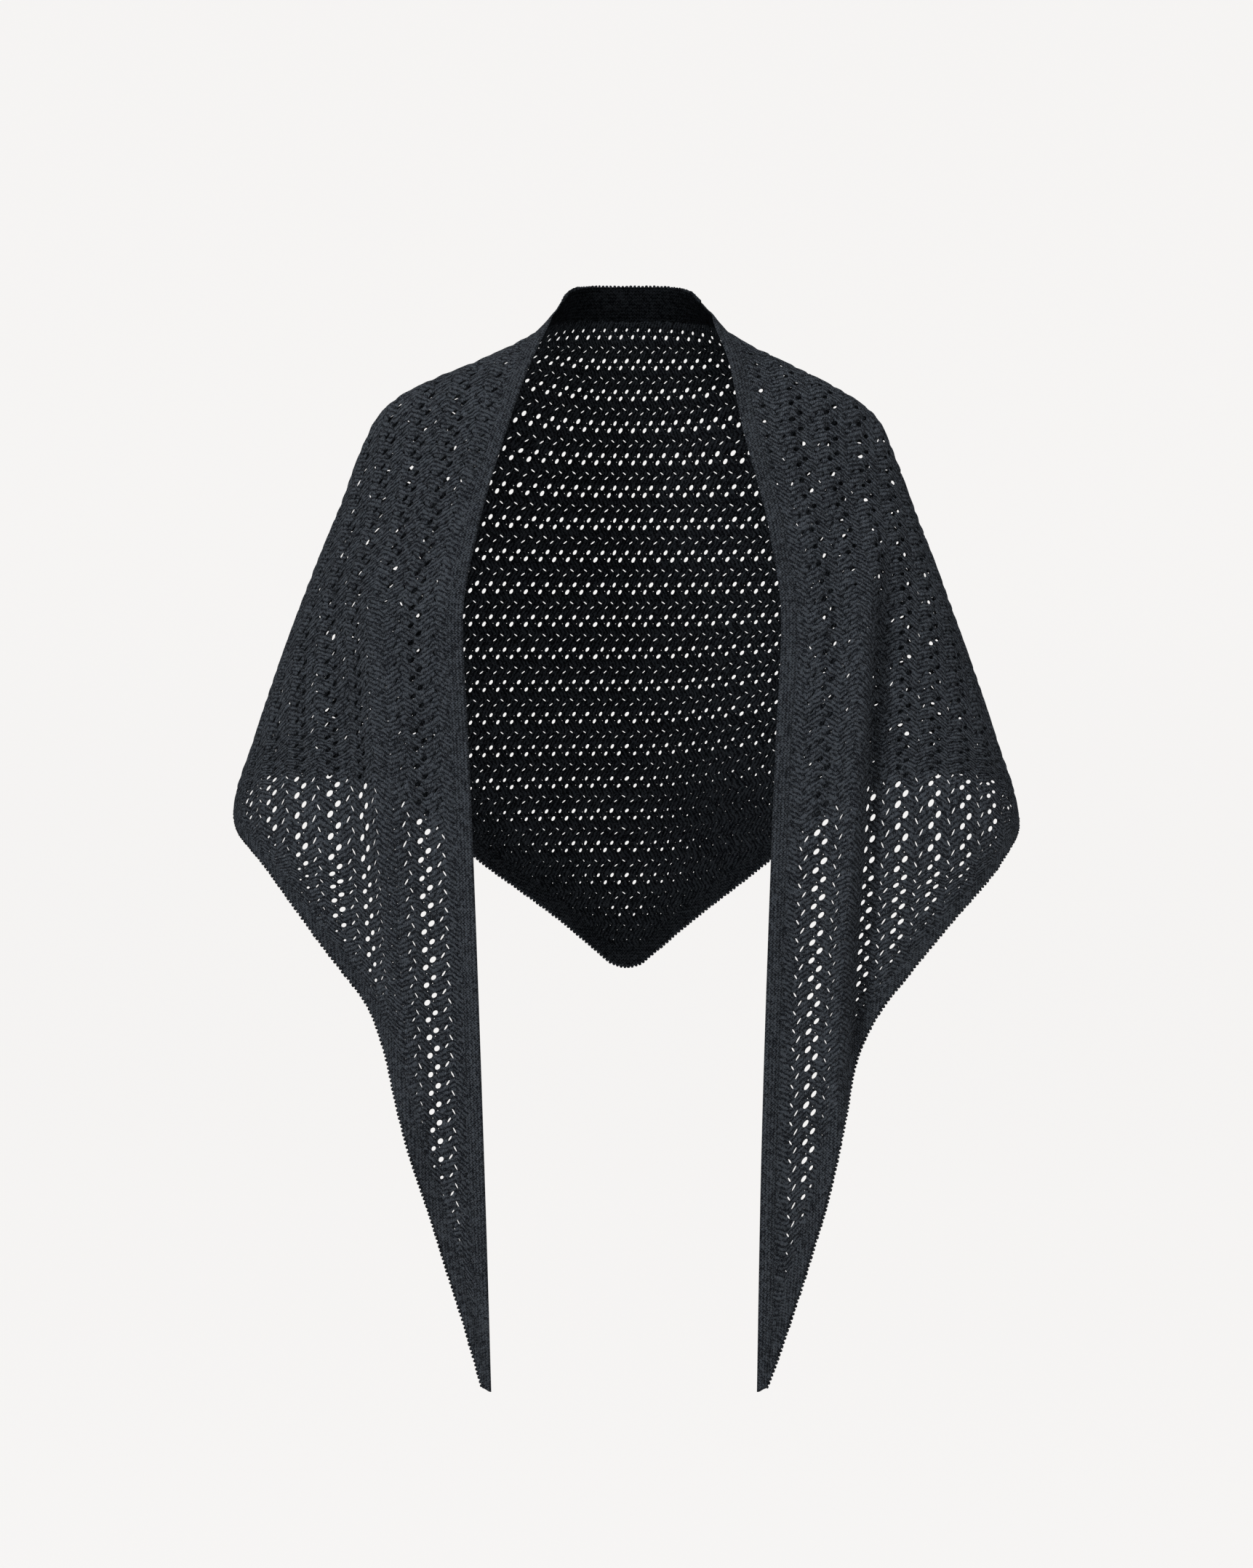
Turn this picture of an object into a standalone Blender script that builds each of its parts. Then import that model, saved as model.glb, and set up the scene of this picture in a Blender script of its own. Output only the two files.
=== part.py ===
"""Lace shawl, worn: a wide shallow triangle of knitted lace round a hollow figure.

Metres, +Z up. The wearer faces -Y, so +X is on the right of a front view. The
origin is the middle of the neck, level with the tops of the shoulders, where the
wearer holds the shawl up.

The cloth is one surface with two measures on it, as a knitter would count them:
a column number along the long edge, from the nape to a front tip, and the
distance in metres from that long edge. Each column is a path over a hollow form
that is given by level sections, so the width and depth of the worn shawl are
named sizes. Every panel, band and edging is a stretch of that one surface,
given a thickness along its normals, and stops short of its neighbour.
"""

import math

import bpy
import numpy as np

THICKNESS = 0.002  # the lace is about 2 mm thick with its raised leaves
SEAM_GAP = 0.0003  # clear space between pieces that meet
COLUMNS = 73.0  # lace columns from the nape to each front tip
BAND_NAPE = 0.030  # plain band along the long edge, behind the neck
BAND_FRONT = 0.013  # and down the fronts
BAND_NARROWS = (6.0, 16.0)  # columns between which it narrows
EDGING = 0.016  # plain edging along each short edge
SHOULDER_COLUMN = 15.5  # the column where the back meets each front
TIP_COLUMN = 72.6  # the blunt end of each front
SLIVER = 0.0012  # the lace stops where it would be narrower than this
COLUMN_STEP = 1.4  # columns between the wall's points
COLUMN_GAP = 0.012  # half a seam as a share of a column, which is about 13 mm
SURE_TURN = (math.radians(8), math.radians(25))  # from the side of the form
LEAST_SLANT = 0.3  # a column is never taken to cross a seam at less than this
LACE_ROWS = 24  # the wall's points across the lace
BAND_ROWS = 2
RIB_SAMPLES = 73  # points along a column before it is measured
ARC_SAMPLES = 97  # points round half a level section

LEFT, RIGHT = -1, 1
COLLECTION = "lace_shawl"

# Level sections of the worn form, from the top of the band behind the neck down.
# half_left and half_right are seen from the front, round is the superellipse
# power of the section: 2 is an ellipse and more is boxier.
SECTIONS = {
    "z": (0.060, 0.045, 0.025, 0.008, -0.006, -0.021, -0.036, -0.050, -0.066,
          -0.090, -0.135, -0.192, -0.266, -0.330, -0.385, -0.430, -0.530, -0.870),
    "half_left": (0.0470, 0.0505, 0.0590, 0.0735, 0.0980, 0.1320, 0.1680, 0.1930, 0.2080,
                  0.2195, 0.2360, 0.2590, 0.2860, 0.3070, 0.3235, 0.3260, 0.3260, 0.3260),
    "half_right": (0.0540, 0.0585, 0.0690, 0.0830, 0.1060, 0.1370, 0.1670, 0.1910, 0.2090,
                   0.2200, 0.2365, 0.2580, 0.2840, 0.3050, 0.3220, 0.3270, 0.3270, 0.3270),
    "back": (0.0720, 0.0730, 0.0770, 0.0840, 0.0920, 0.0990, 0.1060, 0.1110, 0.1150,
             0.1200, 0.1250, 0.1290, 0.1310, 0.1310, 0.1300, 0.1290, 0.1270, 0.1270),
    "front": (0.0450, 0.0460, 0.0480, 0.0510, 0.0560, 0.0640, 0.0740, 0.0820, 0.0890,
              0.0980, 0.1080, 0.1160, 0.1220, 0.1270, 0.1300, 0.1310, 0.1330, 0.1330),
    "round": (2.7, 2.7, 2.7, 2.7, 2.6, 2.5, 2.4, 2.35, 2.35,
              2.4, 2.45, 2.6, 2.85, 3.05, 3.2, 3.2, 3.0, 3.0),
}

# The long edge, from the nape round the neck and down the front. left and right
# are the distances from the middle, and side is 0 behind the shoulders and 1 in
# front of them.
LONG_EDGE = {
    "column": (0.0, 2.5, 5.0, 7.0, 9.0, 10.5, 12.3, 15.5, 19.9, 26.5, 31.3, 38.1, 44.5,
               61.4, 73.0),
    "left": (0.0, 0.0220, 0.0395, 0.0475, 0.0535, 0.0583, 0.0640, 0.0770, 0.0950, 0.1200,
             0.1310, 0.1260, 0.1220, 0.1130, 0.1075),
    "right": (0.0, 0.0225, 0.0425, 0.0535, 0.0620, 0.0683, 0.0725, 0.0830, 0.0930, 0.1150,
              0.1240, 0.1190, 0.1150, 0.1070, 0.1037),
    "z": (0.0560, 0.0556, 0.0525, 0.0470, 0.0360, 0.0265, 0.0110, -0.0206, -0.0760, -0.1660,
          -0.2360, -0.3370, -0.4310, -0.6820, -0.8600),
    "side": (0, 0, 0, 0, 0, 0, 1, 1, 1, 1, 1, 1, 1, 1, 1),
}

# The short edge, from the point at the middle of the back, up to the arm, round
# it, and down the front to the tip.
SHORT_EDGE = {
    "column": (0.0, 1.0, 2.2, 4.6, 11.3, 15.2, 18.0, 22.0, 26.5, 34.5, 41.8,
               46.2, 49.5, 52.2, 54.3, 56.2, 58.4, 61.6, 64.4, 67.5, 70.5, 73.0),
    "left": (0.0, 0.0115, 0.0255, 0.0540, 0.1320, 0.1770, 0.2100, 0.2550, 0.3010, 0.3235,
             0.3190, 0.2915, 0.2575, 0.2275, 0.2035, 0.1910, 0.1825, 0.1690, 0.1565, 0.1425,
             0.1275, 0.1120),
    "right": (0.0, 0.0115, 0.0255, 0.0540, 0.1280, 0.1720, 0.2070, 0.2550, 0.3010, 0.3220,
              0.3210, 0.3010, 0.2605, 0.2265, 0.2010, 0.1870, 0.1775, 0.1655, 0.1560, 0.1430,
              0.1275, 0.1080),
    "z": (-0.5270, -0.5240, -0.5130, -0.4890, -0.4310, -0.3930, -0.3710, -0.3610, -0.3600,
          -0.3840, -0.4030, -0.4350, -0.4800, -0.5200, -0.5530, -0.5850, -0.6200, -0.6700,
          -0.7130, -0.7600, -0.8070, -0.8600),
    "side": (0, 0, 0, 0, 0, 0, 0, 0, 0, 0, 1, 1, 1, 1, 1, 1, 1, 1, 1, 1, 1, 1),
}

# The way a column leaves the long edge and reaches the short one, in degrees:
# 0 is level and outwards, -90 is straight down.
LEANS = {
    "column": (0.0, 9.0, 13.0, 17.0, 24.0, 32.0, 40.0, 46.0, 58.0, 73.0),
    "start": (-90, -96, -60, -14, -4, 0, 2, 4, 6, 4),
    "end": (-90, -91, -90, -87, -82, -74, -40, 14, 14, 8),
}
START_PULL, END_PULL = 0.42, 0.46  # how far each lean is felt along a column

# The largest folds. Each is a soft ridge, or a trough where height is negative,
# down a line of the worn form; turn is degrees round it from the middle of the
# back, and spread is the half width in metres.
FOLDS = {
    "side": (LEFT, LEFT, LEFT, RIGHT, RIGHT, RIGHT, RIGHT, LEFT, LEFT, RIGHT, RIGHT),
    "top": (-0.17, -0.20, -0.33, -0.13, -0.17, -0.40, -0.24, -0.24, -0.20, -0.26, -0.18),
    "bottom": (-0.74, -0.60, -0.86, -0.76, -0.66, -0.86, -0.50, -0.50, -0.46, -0.47, -0.44),
    "x_top": (0.204, 0.236, 0.146, 0.196, 0.214, 0.140, 0.265, 0.258, 0.205, 0.195, 0.090),
    "x_bottom": (0.166, 0.212, 0.128, 0.158, 0.176, 0.128, 0.285, 0.280, 0.235, 0.222, 0.105),
    "front": (1, 1, 1, 1, 1, 1, 0, 0, 0, 0, 0),
    "height": (0.013, -0.006, -0.004, 0.012, -0.014, -0.004, 0.009, 0.010, -0.008, -0.007,
               -0.004),
    "spread": (0.017, 0.016, 0.018, 0.013, 0.0105, 0.016, 0.022, 0.024, 0.022, 0.022, 0.026),
}
FOLD_FADE = 0.09  # metres over which a fold rises and dies away

COLOURS = {
    "lace_back": (0.020, 0.024, 0.031),
    "lace_left": (0.022, 0.027, 0.034),
    "lace_right": (0.022, 0.027, 0.034),
    "band_neck": (0.026, 0.033, 0.043),
    "band_left": (0.026, 0.033, 0.043),
    "band_right": (0.026, 0.033, 0.043),
    "edging_left": (0.018, 0.022, 0.029),
    "edging_right": (0.018, 0.022, 0.029),
}


def follow(table, key, by, at):
    """A smooth curve through a table's column, read at any value of another one.

    Its slope at a row is the harmonic mean of the slopes either side, so the curve
    never swings past the rows.
    """
    x, y = np.array(table[by], float), np.array(table[key], float)
    if x[0] > x[-1]:
        x, y = x[::-1], y[::-1]
    at = np.clip(np.asarray(at, float), x[0], x[-1])
    width, rise = np.diff(x), np.diff(y) / np.diff(x)
    slope = np.concatenate([[rise[0]], np.zeros(len(x) - 2), [rise[-1]]])
    same = rise[:-1] * rise[1:] > 0
    before, after = width[:-1] + 2 * width[1:], 2 * width[:-1] + width[1:]
    steep = before / np.where(same, rise[:-1], 1) + after / np.where(same, rise[1:], 1)
    slope[1:-1] = np.where(same, (before + after) / np.where(same, steep, 1), 0)
    i = np.clip(np.searchsorted(x, at) - 1, 0, len(x) - 2)
    f = (at - x[i]) / width[i]
    return (y[i] * (1 + 2 * f) * (1 - f) ** 2 + slope[i] * width[i] * f * (1 - f) ** 2
            + y[i + 1] * f * f * (3 - 2 * f) + slope[i + 1] * width[i] * f * f * (f - 1))


def smooth_step(low, high, at):
    f = np.clip((np.asarray(at, float) - low) / (high - low), 0, 1)
    return f * f * (3 - 2 * f)


def half_name(hand):
    return "half_left" if hand == LEFT else "half_right"


def hand_name(hand):
    return "left" if hand == LEFT else "right"


def on_form(turn, z, hand):
    """The point of the worn form at a turn from the middle of the back, and a height."""
    half = follow(SECTIONS, half_name(hand), "z", z)
    back, front = follow(SECTIONS, "back", "z", z), follow(SECTIONS, "front", "z", z)
    power = 2 / follow(SECTIONS, "round", "z", z)
    across, along = np.sin(turn), np.cos(turn)
    depth = np.where(along > 0, back, front)
    x = hand * half * np.abs(across) ** power
    y = depth * np.sign(along) * np.abs(along) ** power
    return np.stack([x, y, z + 0 * x], axis=-1)


def turn_of(x, z, side, hand):
    """The turn at which the form is that far from the middle, behind (0) or in front (1)."""
    half = follow(SECTIONS, half_name(hand), "z", z)
    power = follow(SECTIONS, "round", "z", z) / 2
    turn = np.arcsin(np.clip(x / half, 0, 1) ** power)
    return np.where(side > 0.5, math.pi - turn, turn)


def girths(z, hand):
    """Turns round half of each level section, and the distance round it to each."""
    turn = np.linspace(0, math.pi, ARC_SAMPLES)
    z = np.atleast_1d(z)
    points = on_form(turn[None, :], z[:, None] + 0 * turn[None, :], hand)
    steps = np.linalg.norm(np.diff(points, axis=1), axis=2)
    return turn, np.concatenate([np.zeros((len(z), 1)), np.cumsum(steps, axis=1)], axis=1)


def girth_at(turn, z, hand):
    turns, round_it = girths(z, hand)
    return np.array([np.interp(t, turns, row) for t, row in zip(np.atleast_1d(turn), round_it)])


def edge_rows(table, hand):
    """An edge's rows, with the turn of each, and a mirrored row before the first.

    The mirrored row keeps the edge smooth across the middle of the back.
    """
    x, z = table[hand_name(hand)], table["z"]
    turns = [float(turn_of(*row, hand)) for row in zip(x, z, table["side"])]
    return {"column": (-table["column"][1], *table["column"]), "x": (-x[1], *x),
            "z": (z[1], *z), "turn": (-turns[1], *turns)}


def edge_point(rows, column, hand):
    """A point of an edge, as the distance round the form from the middle of the back, and z.

    The distance from the middle settles the turn, but not at the sides, where the
    form is level with the view and the turn is read between the rows instead.
    """
    x, z, near = (float(follow(rows, key, "column", column)) for key in ("x", "z", "turn"))
    exact = float(turn_of(x, z, near > math.pi / 2, hand))
    sure = float(smooth_step(*SURE_TURN, abs(near - math.pi / 2)))
    turn = near + (exact - near) * sure
    return float(girth_at([turn], [z], hand)[0]), z


def fold_height(points, turn, hand):
    """How far the folds lift the cloth off the form."""
    x, z = np.abs(points[..., 0]), points[..., 2]
    in_front = smooth_step(math.radians(80), math.radians(100), turn)
    total = np.zeros(x.shape)
    for i in range(len(FOLDS["side"])):
        if FOLDS["side"][i] != hand:
            continue
        top, bottom = FOLDS["top"][i], FOLDS["bottom"][i]
        f = np.clip((top - z) / (top - bottom), 0, 1)
        line = FOLDS["x_top"][i] + (FOLDS["x_bottom"][i] - FOLDS["x_top"][i]) * f
        bump = np.exp(-((x - line) / FOLDS["spread"][i]) ** 2)
        fade = smooth_step(0, FOLD_FADE, top - z) * smooth_step(0, FOLD_FADE, z - bottom)
        shows = in_front if FOLDS["front"][i] else 1 - in_front
        total += FOLDS["height"][i] * bump * fade * shows
    return total


def outward(turn, z, hand):
    """The form's own normal."""
    step_turn, step_z = 0.004, 0.0015
    round_it = on_form(turn + step_turn, z, hand) - on_form(turn - step_turn, z, hand)
    up = on_form(turn, z + step_z, hand) - on_form(turn, z - step_z, hand)
    normal = np.cross(round_it, up) * -hand
    return normal / np.maximum(np.linalg.norm(normal, axis=-1, keepdims=True), 1e-12)


def column_path(column, hand):
    """Points down one column of lace, and the distance from the long edge to each."""
    g0, z0 = edge_point(EDGES[hand][0], column, hand)
    g3, z3 = edge_point(EDGES[hand][1], column, hand)
    reach = math.hypot(g0 - g3, z0 - z3)
    start = math.radians(float(follow(LEANS, "start", "column", column)))
    end = math.radians(float(follow(LEANS, "end", "column", column)))
    g1, z1 = g0 - START_PULL * reach * math.cos(start), z0 + START_PULL * reach * math.sin(start)
    g2, z2 = g3 + END_PULL * reach * math.cos(end), z3 - END_PULL * reach * math.sin(end)
    f = np.linspace(0, 1, RIB_SAMPLES)
    weights = ((1 - f) ** 3, 3 * f * (1 - f) ** 2, 3 * f * f * (1 - f), f ** 3)
    g = sum(w * v for w, v in zip(weights, (g0, g1, g2, g3)))
    z = sum(w * v for w, v in zip(weights, (z0, z1, z2, z3)))
    turns, round_it = girths(z, hand)
    turn = np.array([np.interp(a, row, turns) for a, row in zip(g, round_it)])
    form = on_form(turn, z, hand)
    points = form + outward(turn, z, hand) * fold_height(form, turn, hand)[:, None]
    steps = np.linalg.norm(np.diff(points, axis=0), axis=1)
    return points, np.concatenate([[0], np.cumsum(steps)])


EDGES = {hand: (edge_rows(LONG_EDGE, hand), edge_rows(SHORT_EDGE, hand))
         for hand in (LEFT, RIGHT)}
PATHS = {}


def path_of(column):
    """Columns left of the middle are negative."""
    key = round(column, 4)
    if key not in PATHS:
        PATHS[key] = column_path(abs(column), LEFT if column < 0 else RIGHT)
    return PATHS[key]


def depth_at(column):
    """The width of the cloth from the long edge to the short one, down a column."""
    return float(path_of(column)[1][-1])


def place(column, distance):
    points, along = path_of(column)
    return np.array([np.interp(distance, along, points[:, k]) for k in range(3)])


def cloth_normal(column, distance):
    """The cloth's outward normal, the same for both pieces that meet at a seam."""
    step = 0.25
    left = column - step if column - step > -COLUMNS else column
    right = column + step if column + step < COLUMNS else column
    sideways = place(right, distance) - place(left, distance)
    near, far = max(distance - 0.004, 0.0), min(distance + 0.004, depth_at(column))
    down = place(column, far) - place(column, near)
    normal = np.cross(down, sideways)
    return normal / np.linalg.norm(normal)


def band_width(column):
    share = float(smooth_step(*BAND_NARROWS, abs(column)))
    return BAND_NAPE + (BAND_FRONT - BAND_NAPE) * share


def lace_end(hand):
    """The last column on which there is lace between the band and the edging."""
    column = TIP_COLUMN
    while depth_at(hand * column) < BAND_FRONT + EDGING + SLIVER:
        column -= 0.1
    return column


LACE_END = {hand: lace_end(hand) for hand in (LEFT, RIGHT)}


def band_limit(column):
    """How far from the long edge the band ends: half the cloth, near a tip."""
    hand = LEFT if column < 0 else RIGHT
    last = LACE_END[hand]
    share = float(smooth_step(last, last + 0.5, abs(column)))
    return band_width(column) * (1 - share) + depth_at(column) / 2 * share


def edging_limit(column):
    """How far from the long edge the edging starts."""
    hand = LEFT if column < 0 else RIGHT
    last = LACE_END[hand]
    share = float(smooth_step(last, last + 0.5, abs(column)))
    depth = depth_at(column)
    return (depth - EDGING) * (1 - share) + depth / 2 * share


def slant(column, limit):
    """The share of a distance along a column that lies square to a limit crossing it."""
    before, after = column - 0.2, column + 0.2
    across = place(after, limit(after)) - place(before, limit(before))
    down = place(column, limit(column) + 0.002) - place(column, limit(column) - 0.002)
    across, down = across / np.linalg.norm(across), down / np.linalg.norm(down)
    return max(float(np.linalg.norm(np.cross(across, down))), LEAST_SLANT)


def edging_seam(column):
    """Half the seam to the edging, measured along a column."""
    return SEAM_GAP / 2 / slant(column, edging_limit)


def make_piece(name, columns, rows, near, far):
    """A wall of even thickness over a stretch of the cloth, closed all round."""
    outer, inner = [], []
    for column in columns:
        low, high = near(column), far(column)
        for row in range(rows + 1):
            distance = low + (high - low) * row / rows
            point, normal = place(column, distance), cloth_normal(column, distance)
            outer.append(point + normal * THICKNESS / 2)
            inner.append(point - normal * THICKNESS / 2)
    count, last = len(outer), len(columns) - 1

    def at(column, row, layer):
        return layer * count + column * (rows + 1) + row

    faces = []
    for c in range(last):
        for r in range(rows):
            a, b, e, d = at(c, r, 0), at(c + 1, r, 0), at(c + 1, r + 1, 0), at(c, r + 1, 0)
            faces += [(a, d, e), (a, e, b)]
            a, b, e, d = a + count, b + count, e + count, d + count
            faces += [(a, e, d), (a, b, e)]
        for r in (0, rows):
            a, b = at(c, r, 0), at(c + 1, r, 0)
            rim = [(a, b, b + count), (a, b + count, a + count)]
            faces += rim if r == 0 else [face[::-1] for face in rim]
    for r in range(rows):
        for c in (0, last):
            a, b = at(c, r, 0), at(c, r + 1, 0)
            rim = [(a, a + count, b + count), (a, b + count, b)]
            faces += rim if c == 0 else [face[::-1] for face in rim]
    mesh = bpy.data.meshes.new(name)
    mesh.from_pydata([tuple(p) for p in outer + inner], [], faces)
    mesh.validate()
    mesh.shade_smooth()
    mesh.set_sharp_from_angle(angle=math.radians(50))
    mesh.materials.append(yarn(name))
    piece = bpy.data.objects.new(name, mesh)
    bpy.data.collections[COLLECTION].objects.link(piece)
    return piece


def yarn(name):
    material = bpy.data.materials.new(name)
    material.use_nodes = True
    shader = material.node_tree.nodes["Principled BSDF"]
    shader.inputs["Base Color"].default_value = (*COLOURS[name], 1)
    shader.inputs["Roughness"].default_value = 0.92
    shader.inputs["Metallic"].default_value = 0.0
    return material


def spaced(first, last, step):
    count = max(1, round(abs(last - first) / step))
    return [first + (last - first) * i / count for i in range(count + 1)]


def make_shawl():
    """Pieces that meet share their columns and rows, so a seam is even all along."""
    half = SEAM_GAP / 2
    back = spaced(-SHOULDER_COLUMN + COLUMN_GAP, SHOULDER_COLUMN - COLUMN_GAP, COLUMN_STEP)
    make_piece("band_neck", back, BAND_ROWS, lambda c: 0.0, lambda c: band_limit(c) - half)
    make_piece("lace_back", back, LACE_ROWS, lambda c: band_limit(c) + half,
               lambda c: edging_limit(c) - edging_seam(c))
    for hand in (LEFT, RIGHT):
        side = hand_name(hand)
        lace = spaced(SHOULDER_COLUMN + COLUMN_GAP, LACE_END[hand], COLUMN_STEP)
        tip = spaced(LACE_END[hand], TIP_COLUMN, COLUMN_STEP)[1:]
        behind = [COLUMN_GAP] + [c for c in back if c > COLUMN_GAP]
        order = -1 if hand == LEFT else 1
        lace_columns = [hand * c for c in lace][::order]
        band_columns = [hand * c for c in lace + tip][::order]
        edge_columns = [hand * c for c in behind + lace + tip][::order]
        make_piece("lace_" + side, lace_columns, LACE_ROWS, lambda c: band_limit(c) + half,
                   lambda c: edging_limit(c) - edging_seam(c))
        make_piece("band_" + side, band_columns, BAND_ROWS, lambda c: 0.0,
                   lambda c: band_limit(c) - half)
        make_piece("edging_" + side, edge_columns, 1,
                   lambda c: edging_limit(c) + edging_seam(c), depth_at)


for old in list(bpy.data.objects):
    bpy.data.objects.remove(old)
collection = bpy.data.collections.new(COLLECTION)
bpy.context.scene.collection.children.link(collection)
make_shawl()
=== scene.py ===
# %% [markdown]
# A lace shawl, worn open. The real one is a single knitted cloth, so everything here
# hangs on one idea: the cloth has two measures of its own, the column of lace along its
# long edge and the row of lace across it. First the worn shape is worked out as a map
# from (column, distance) to space. Then one repeat of the lace is drawn flat, laid out
# hundreds of times by Geometry Nodes, and carried onto the drape by the same two numbers.

# %% The frame
import math

import bpy
import numpy as np
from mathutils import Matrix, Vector, geometry


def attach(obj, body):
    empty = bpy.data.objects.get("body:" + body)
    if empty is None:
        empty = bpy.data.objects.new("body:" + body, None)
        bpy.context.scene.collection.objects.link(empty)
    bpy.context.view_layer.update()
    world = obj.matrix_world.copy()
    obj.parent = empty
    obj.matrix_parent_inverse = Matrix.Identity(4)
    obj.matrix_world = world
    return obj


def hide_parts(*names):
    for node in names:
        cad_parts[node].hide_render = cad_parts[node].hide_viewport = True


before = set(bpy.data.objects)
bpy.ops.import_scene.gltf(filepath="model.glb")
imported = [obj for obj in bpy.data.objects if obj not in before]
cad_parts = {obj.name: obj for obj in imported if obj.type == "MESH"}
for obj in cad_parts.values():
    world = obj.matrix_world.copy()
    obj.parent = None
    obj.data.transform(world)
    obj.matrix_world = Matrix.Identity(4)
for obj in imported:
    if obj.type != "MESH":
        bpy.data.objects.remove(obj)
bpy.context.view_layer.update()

# %% [markdown]
# The worn form is a stack of level sections, each a superellipse with its own widths to
# the left and right and depths behind and in front. Short tables name the sizes that
# shape it. The two edges of the cloth are tables too, and so are the folds. These are
# the sizes of the solid model, so the lace lands exactly where the solids are.

# %% Sizes of the worn cloth
LEFT, RIGHT = -1, 1
COLUMNS = 73.0  # lace columns from the nape to each front tip
BAND_NAPE, BAND_FRONT = 0.030, 0.013  # plain band behind the neck, and down the fronts
BAND_NARROWS = (6.0, 16.0)  # columns between which it narrows
EDGING = 0.016  # plain edging along the short edges
TIP_COLUMN = 72.6
SECTIONS = {
    "z": (0.060, 0.045, 0.025, 0.008, -0.006, -0.021, -0.036, -0.050, -0.066,
          -0.090, -0.135, -0.192, -0.266, -0.330, -0.385, -0.430, -0.530, -0.870),
    "half_left": (0.0470, 0.0505, 0.0590, 0.0735, 0.0980, 0.1320, 0.1680, 0.1930, 0.2080,
                  0.2195, 0.2360, 0.2590, 0.2860, 0.3070, 0.3235, 0.3260, 0.3260, 0.3260),
    "half_right": (0.0540, 0.0585, 0.0690, 0.0830, 0.1060, 0.1370, 0.1670, 0.1910, 0.2090,
                   0.2200, 0.2365, 0.2580, 0.2840, 0.3050, 0.3220, 0.3270, 0.3270, 0.3270),
    "back": (0.0720, 0.0730, 0.0770, 0.0840, 0.0920, 0.0990, 0.1060, 0.1110, 0.1150,
             0.1200, 0.1250, 0.1290, 0.1310, 0.1310, 0.1300, 0.1290, 0.1270, 0.1270),
    "front": (0.0450, 0.0460, 0.0480, 0.0510, 0.0560, 0.0640, 0.0740, 0.0820, 0.0890,
              0.0980, 0.1080, 0.1160, 0.1220, 0.1270, 0.1300, 0.1310, 0.1330, 0.1330),
    "round": (2.7, 2.7, 2.7, 2.7, 2.6, 2.5, 2.4, 2.35, 2.35,
              2.4, 2.45, 2.6, 2.85, 3.05, 3.2, 3.2, 3.0, 3.0),
}
LONG_EDGE = {
    "column": (0.0, 2.5, 5.0, 7.0, 9.0, 10.5, 12.3, 15.5, 19.9, 26.5, 31.3, 38.1, 44.5,
               61.4, 73.0),
    "left": (0.0, 0.0220, 0.0395, 0.0475, 0.0535, 0.0583, 0.0640, 0.0770, 0.0950, 0.1200,
             0.1310, 0.1260, 0.1220, 0.1130, 0.1075),
    "right": (0.0, 0.0225, 0.0425, 0.0535, 0.0620, 0.0683, 0.0725, 0.0830, 0.0930, 0.1150,
              0.1240, 0.1190, 0.1150, 0.1070, 0.1037),
    "z": (0.0560, 0.0556, 0.0525, 0.0470, 0.0360, 0.0265, 0.0110, -0.0206, -0.0760, -0.1660,
          -0.2360, -0.3370, -0.4310, -0.6820, -0.8600),
    "side": (0, 0, 0, 0, 0, 0, 1, 1, 1, 1, 1, 1, 1, 1, 1),
}
SHORT_EDGE = {
    "column": (0.0, 1.0, 2.2, 4.6, 11.3, 15.2, 18.0, 22.0, 26.5, 34.5, 41.8,
               46.2, 49.5, 52.2, 54.3, 56.2, 58.4, 61.6, 64.4, 67.5, 70.5, 73.0),
    "left": (0.0, 0.0115, 0.0255, 0.0540, 0.1320, 0.1770, 0.2100, 0.2550, 0.3010, 0.3235,
             0.3190, 0.2915, 0.2575, 0.2275, 0.2035, 0.1910, 0.1825, 0.1690, 0.1565, 0.1425,
             0.1275, 0.1120),
    "right": (0.0, 0.0115, 0.0255, 0.0540, 0.1280, 0.1720, 0.2070, 0.2550, 0.3010, 0.3220,
              0.3210, 0.3010, 0.2605, 0.2265, 0.2010, 0.1870, 0.1775, 0.1655, 0.1560, 0.1430,
              0.1275, 0.1080),
    "z": (-0.5270, -0.5240, -0.5130, -0.4890, -0.4310, -0.3930, -0.3710, -0.3610, -0.3600,
          -0.3840, -0.4030, -0.4350, -0.4800, -0.5200, -0.5530, -0.5850, -0.6200, -0.6700,
          -0.7130, -0.7600, -0.8070, -0.8600),
    "side": (0, 0, 0, 0, 0, 0, 0, 0, 0, 0, 1, 1, 1, 1, 1, 1, 1, 1, 1, 1, 1, 1),
}
LEANS = {
    "column": (0.0, 9.0, 13.0, 17.0, 24.0, 32.0, 40.0, 46.0, 58.0, 73.0),
    "start": (-90, -96, -60, -14, -4, 0, 2, 4, 6, 4),
    "end": (-90, -91, -90, -87, -82, -74, -40, 14, 14, 8),
}
START_PULL, END_PULL = 0.42, 0.46
SURE_TURN = (math.radians(8), math.radians(25))
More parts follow.
